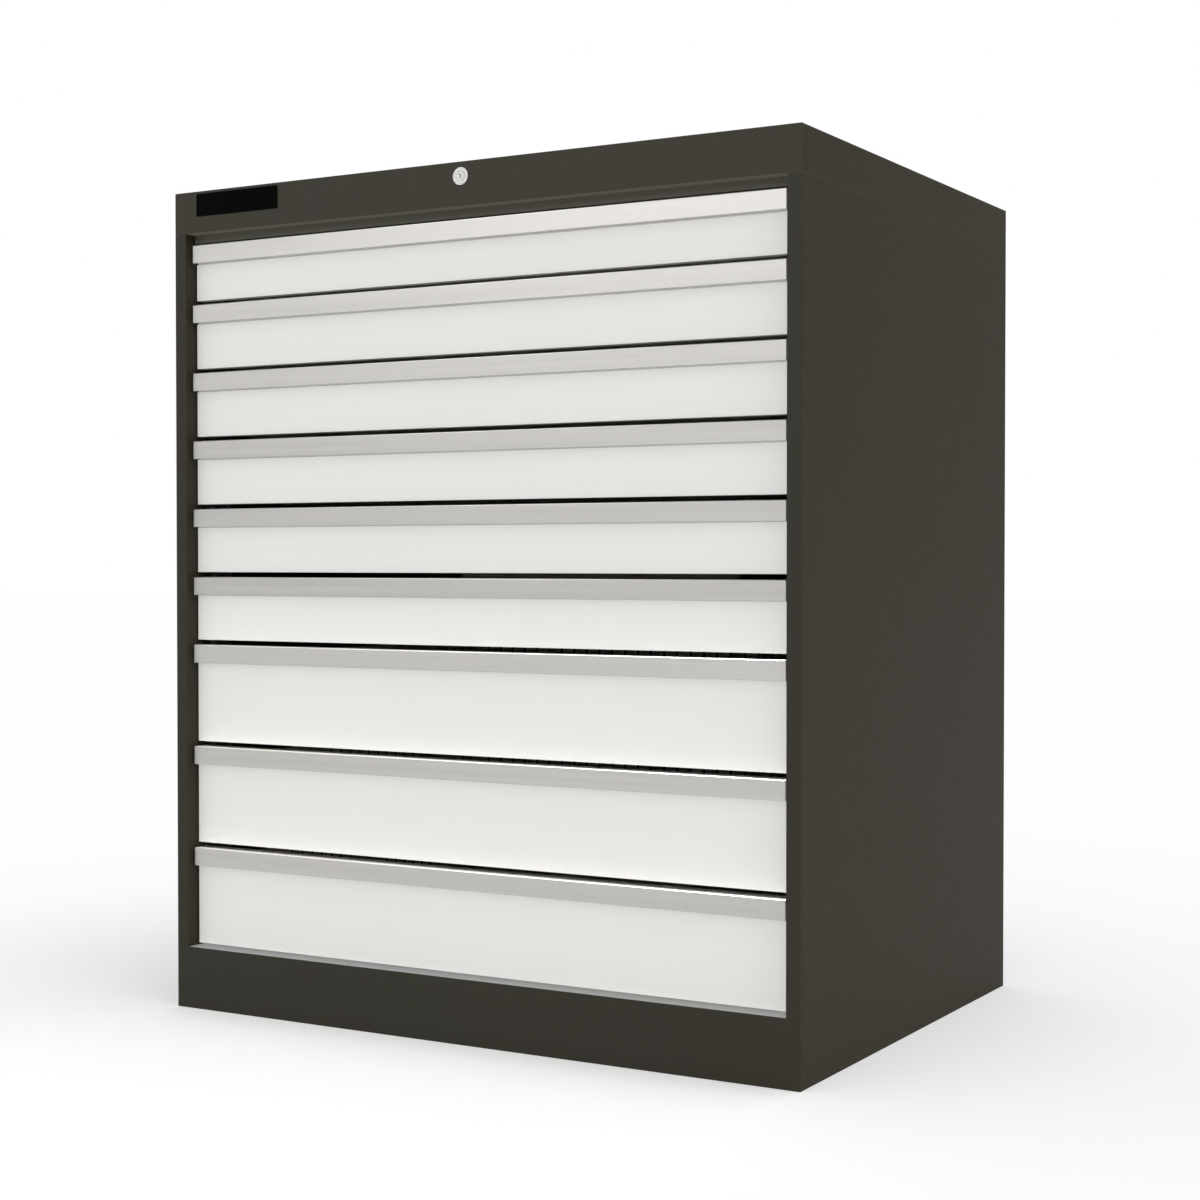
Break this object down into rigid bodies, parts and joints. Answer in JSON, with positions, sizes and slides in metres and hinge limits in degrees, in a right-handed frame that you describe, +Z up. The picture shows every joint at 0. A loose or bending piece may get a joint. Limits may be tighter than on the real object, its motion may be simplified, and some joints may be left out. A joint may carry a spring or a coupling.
{
  "type": "drawer cabinet",
  "caption": "Free-standing steel cabinet with a stack of full-width, full-extension drawers, hooded pull handles and one central lock under a shallow top cover.",
  "frame": {"origin": "centre of the footprint, on the floor", "axes": "+Z up; the drawers' fronts face -Y and the drawers open along -Y; +X is to the right in a front view"},
  "size_m": [1.01, 0.7566, 1.2],
  "materials": {
    "dark_paint": "fine-textured powder coat, dark olive grey",
    "light_paint": "smooth satin powder coat, near white",
    "handle_metal": "satin anodised",
    "zinc": "galvanised, dull",
    "carriage_steel": "zinc plated plate with rollers",
    "lock_metal": "satin nickel"
  },
  "bodies": {
    "housing": {"side_panel_left": "dark_paint", "side_panel_right": "dark_paint", "back_panel": "dark_paint", "top_cover": "dark_paint", "front_top_rail": "dark_paint", "plinth_front": "dark_paint", "plinth_rear": "dark_paint", "top_frame_rails": "zinc", "base_deck": "zinc", "upright_front_left": "zinc", "upright_front_right": "zinc", "upright_rear_left": "zinc", "upright_rear_right": "zinc", "fixed_rails_left": "zinc", "fixed_rails_right": "zinc", "lock_bar_guides": "zinc", "cross_bar_guides": "zinc", "lock_clip": "zinc", "lock_housing": "lock_metal"},
    "drawer_1": {"drawer_1_front": "light_paint", "drawer_1_handle": "handle_metal", "drawer_1_tray": "light_paint"},
    "carriage_1": {"drawer_1_slides": "carriage_steel"},
    "drawer_2": {"drawer_2_front": "light_paint", "drawer_2_handle": "handle_metal", "drawer_2_tray": "light_paint"},
    "carriage_2": {"drawer_2_slides": "carriage_steel"},
    "drawer_3": {"drawer_3_front": "light_paint", "drawer_3_handle": "handle_metal", "drawer_3_tray": "light_paint"},
    "carriage_3": {"drawer_3_slides": "carriage_steel"},
    "drawer_4": {"drawer_4_front": "light_paint", "drawer_4_handle": "handle_metal", "drawer_4_tray": "light_paint"},
    "carriage_4": {"drawer_4_slides": "carriage_steel"},
    "drawer_5": {"drawer_5_front": "light_paint", "drawer_5_handle": "handle_metal", "drawer_5_tray": "light_paint"},
    "carriage_5": {"drawer_5_slides": "carriage_steel"},
    "drawer_6": {"drawer_6_front": "light_paint", "drawer_6_handle": "handle_metal", "drawer_6_tray": "light_paint"},
    "carriage_6": {"drawer_6_slides": "carriage_steel"},
    "drawer_7": {"drawer_7_front": "light_paint", "drawer_7_handle": "handle_metal", "drawer_7_tray": "light_paint"},
    "carriage_7": {"drawer_7_slides": "carriage_steel"},
    "drawer_8": {"drawer_8_front": "light_paint", "drawer_8_handle": "handle_metal", "drawer_8_tray": "light_paint"},
    "carriage_8": {"drawer_8_slides": "carriage_steel"},
    "drawer_9": {"drawer_9_front": "light_paint", "drawer_9_handle": "handle_metal", "drawer_9_tray": "light_paint"},
    "carriage_9": {"drawer_9_slides": "carriage_steel"},
    "lock_core": {"lock_barrel": "lock_metal", "lock_cam": "zinc"},
    "cross_bar": {"lock_cross_bar": "zinc"},
    "lock_bar_left": {"lock_bar_left": "zinc"},
    "lock_bar_right": {"lock_bar_right": "zinc"}
  },
  "joints": [
    {"name": "drawer_1_travel", "type": "slide", "parent": "housing", "child": "drawer_1", "axis": [0, -1, 0], "range_m": [0, 0.64]},
    {"name": "carriage_1_travel", "type": "slide", "parent": "housing", "child": "carriage_1", "axis": [0, -1, 0], "range_m": [0, 0.32]},
    {"name": "drawer_2_travel", "type": "slide", "parent": "housing", "child": "drawer_2", "axis": [0, -1, 0], "range_m": [0, 0.64]},
    {"name": "carriage_2_travel", "type": "slide", "parent": "housing", "child": "carriage_2", "axis": [0, -1, 0], "range_m": [0, 0.32]},
    {"name": "drawer_3_travel", "type": "slide", "parent": "housing", "child": "drawer_3", "axis": [0, -1, 0], "range_m": [0, 0.64]},
    {"name": "carriage_3_travel", "type": "slide", "parent": "housing", "child": "carriage_3", "axis": [0, -1, 0], "range_m": [0, 0.32]},
    {"name": "drawer_4_travel", "type": "slide", "parent": "housing", "child": "drawer_4", "axis": [0, -1, 0], "range_m": [0, 0.64]},
    {"name": "carriage_4_travel", "type": "slide", "parent": "housing", "child": "carriage_4", "axis": [0, -1, 0], "range_m": [0, 0.32]},
    {"name": "drawer_5_travel", "type": "slide", "parent": "housing", "child": "drawer_5", "axis": [0, -1, 0], "range_m": [0, 0.64]},
    {"name": "carriage_5_travel", "type": "slide", "parent": "housing", "child": "carriage_5", "axis": [0, -1, 0], "range_m": [0, 0.32]},
    {"name": "drawer_6_travel", "type": "slide", "parent": "housing", "child": "drawer_6", "axis": [0, -1, 0], "range_m": [0, 0.64]},
    {"name": "carriage_6_travel", "type": "slide", "parent": "housing", "child": "carriage_6", "axis": [0, -1, 0], "range_m": [0, 0.32]},
    {"name": "drawer_7_travel", "type": "slide", "parent": "housing", "child": "drawer_7", "axis": [0, -1, 0], "range_m": [0, 0.64]},
    {"name": "carriage_7_travel", "type": "slide", "parent": "housing", "child": "carriage_7", "axis": [0, -1, 0], "range_m": [0, 0.32]},
    {"name": "drawer_8_travel", "type": "slide", "parent": "housing", "child": "drawer_8", "axis": [0, -1, 0], "range_m": [0, 0.64]},
    {"name": "carriage_8_travel", "type": "slide", "parent": "housing", "child": "carriage_8", "axis": [0, -1, 0], "range_m": [0, 0.32]},
    {"name": "drawer_9_travel", "type": "slide", "parent": "housing", "child": "drawer_9", "axis": [0, -1, 0], "range_m": [0, 0.64]},
    {"name": "carriage_9_travel", "type": "slide", "parent": "housing", "child": "carriage_9", "axis": [0, -1, 0], "range_m": [0, 0.32]},
    {"name": "cross_bar_slide", "type": "slide", "parent": "housing", "child": "cross_bar", "axis": [1, 0, 0], "range_m": [0, 0.01414]},
    {"name": "lock_turn", "type": "hinge", "parent": "housing", "child": "lock_core", "pos_m": [0, -0.37675, 1.18], "axis": [0, 1, 0], "range_deg": [0, 90]},
    {"name": "lock_bar_left_lift", "type": "slide", "parent": "housing", "child": "lock_bar_left", "axis": [0, 0, 1], "range_m": [0, 0.01415]},
    {"name": "lock_bar_right_lift", "type": "slide", "parent": "housing", "child": "lock_bar_right", "axis": [0, 0, 1], "range_m": [0, 0.01415]}
  ],
  "couplings": [
    {"joint": "carriage_1_travel", "follows": "drawer_1_travel", "ratio": 0.5},
    {"joint": "carriage_2_travel", "follows": "drawer_2_travel", "ratio": 0.5},
    {"joint": "carriage_3_travel", "follows": "drawer_3_travel", "ratio": 0.5},
    {"joint": "carriage_4_travel", "follows": "drawer_4_travel", "ratio": 0.5},
    {"joint": "carriage_5_travel", "follows": "drawer_5_travel", "ratio": 0.5},
    {"joint": "carriage_6_travel", "follows": "drawer_6_travel", "ratio": 0.5},
    {"joint": "carriage_7_travel", "follows": "drawer_7_travel", "ratio": 0.5},
    {"joint": "carriage_8_travel", "follows": "drawer_8_travel", "ratio": 0.5},
    {"joint": "carriage_9_travel", "follows": "drawer_9_travel", "ratio": 0.5},
    {"joint": "lock_turn", "follows": "cross_bar_slide", "rad_per_m": 111.07},
    {"joint": "lock_bar_left_lift", "follows": "cross_bar_slide", "ratio": 1},
    {"joint": "lock_bar_right_lift", "follows": "cross_bar_slide", "ratio": 1}
  ]
}
